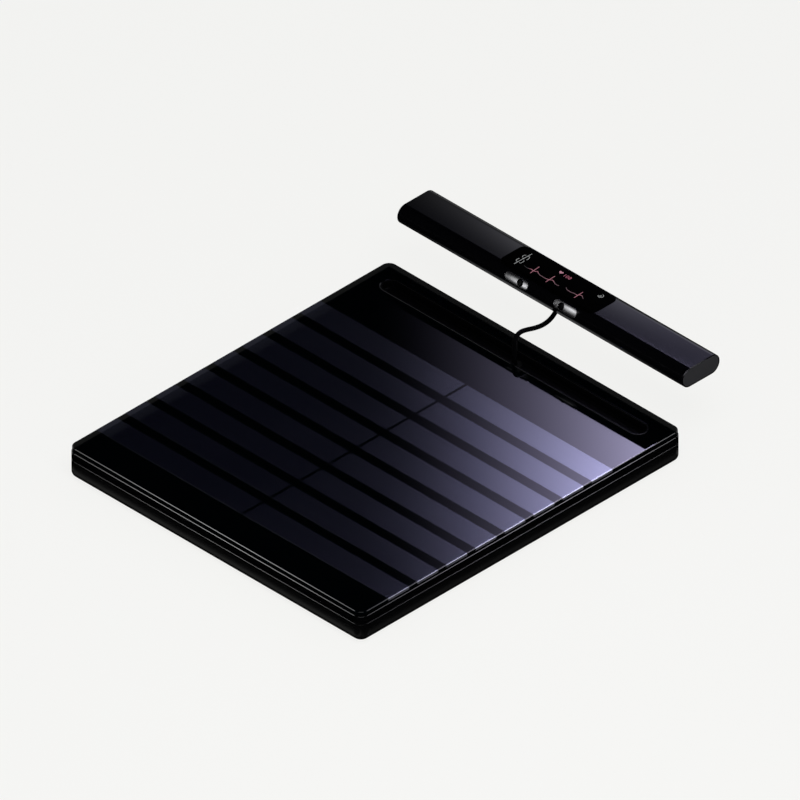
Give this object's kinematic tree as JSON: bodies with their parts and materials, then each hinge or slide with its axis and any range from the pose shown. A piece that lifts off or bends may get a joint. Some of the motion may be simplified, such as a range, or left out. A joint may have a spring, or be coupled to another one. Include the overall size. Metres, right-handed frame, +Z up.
{
  "type": "smart bathroom scale",
  "caption": "Bathroom scale with a glass platform in electrode bands, and a wired handle with a display and thumb buttons that docks over a slot at the back.",
  "frame": {"origin": "on the floor, at the middle of the object's outline without its cord, between the platform's front and the handle's back", "axes": "+X along the handle, to the user's right; +Y to the back, where the handle docks; +Z up"},
  "size_m": [0.327, 0.4042, 0.0798],
  "materials": {
    "black_glass": "polished, printed black behind",
    "electrode_film": "clear conductive coating with a blue tint",
    "gloss_black": "gloss",
    "satin_black": "satin, finely textured",
    "coated_metal": "black vapour coating, smooth",
    "end_grey": "satin",
    "polished_silver": "fine satin polish",
    "black_rubber": "matt",
    "cord_sheath": "smooth sheath",
    "steel": "plain",
    "circuit_board": "lacquered",
    "battery_wrap": "shrink sleeve",
    "grey_nylon": "moulded",
    "display_glass": "gloss"
  },
  "bodies": {
    "platform": {"glass_plate": "black_glass", "left_electrode_1": "electrode_film", "right_electrode_1": "electrode_film", "left_electrode_2": "electrode_film", "right_electrode_2": "electrode_film", "left_electrode_3": "electrode_film", "right_electrode_3": "electrode_film", "left_electrode_4": "electrode_film", "right_electrode_4": "electrode_film", "left_electrode_5": "electrode_film", "right_electrode_5": "electrode_film", "left_electrode_6": "electrode_film", "right_electrode_6": "electrode_film", "left_electrode_7": "electrode_film", "right_electrode_7": "electrode_film", "left_electrode_8": "electrode_film", "right_electrode_8": "electrode_film", "glass_seal": "black_rubber", "top_frame": "gloss_black", "dock_tray": "gloss_black", "cord_grommet": "black_rubber", "base_shell": "satin_black", "foot_front_left": "satin_black", "foot_front_right": "satin_black", "foot_back_left": "satin_black", "foot_back_right": "satin_black", "foot_pad_front_left": "black_rubber", "foot_pad_front_right": "black_rubber", "foot_pad_back_left": "black_rubber", "foot_pad_back_right": "black_rubber", "load_cell_front_left": "steel", "load_cell_front_right": "steel", "load_cell_back_left": "steel", "load_cell_back_right": "steel", "battery_pack": "battery_wrap", "main_board": "circuit_board", "charging_port": "steel", "reel_housing": "grey_nylon", "reel_axle": "steel", "handle_cord": "cord_sheath"},
    "reel": {"reel_drum": "grey_nylon", "reel_spring": "steel"},
    "handle": {"display_housing": "coated_metal", "display_lens": "display_glass", "display_module": "display_glass", "handle_board": "circuit_board", "handle_spine": "steel", "cord_boot": "black_rubber", "left_grip": "coated_metal", "right_grip": "coated_metal", "left_end_cap": "end_grey", "right_end_cap": "end_grey", "left_button_plate": "polished_silver", "right_button_plate": "polished_silver"},
    "left_button": {"left_button": "gloss_black"},
    "right_button": {"right_button": "gloss_black"}
  },
  "joints": [
    {"name": "handle_dock", "type": "slide", "parent": "platform", "child": "handle", "axis": [0, -0.8357, -0.5491], "range_m": [0, 0.05827], "deforming": ["handle_cord"]},
    {"name": "reel_spin", "type": "hinge", "parent": "platform", "child": "reel", "pos_m": [0, 0.09056, 0.0097], "axis": [0, 0, 1], "range_deg": [0, 176], "deforming": ["reel_spring"]},
    {"name": "left_press", "type": "slide", "parent": "handle", "child": "left_button", "axis": [0, 0.8746, -0.4848], "range_m": [0, 0.0005], "stiffness_N_per_m": 500},
    {"name": "right_press", "type": "slide", "parent": "handle", "child": "right_button", "axis": [0, 0.8746, -0.4848], "range_m": [0, 0.0005], "stiffness_N_per_m": 500}
  ],
  "couplings": [
    {"joint": "reel_spin", "follows": "handle_dock", "rad_per_m": 52.4}
  ]
}
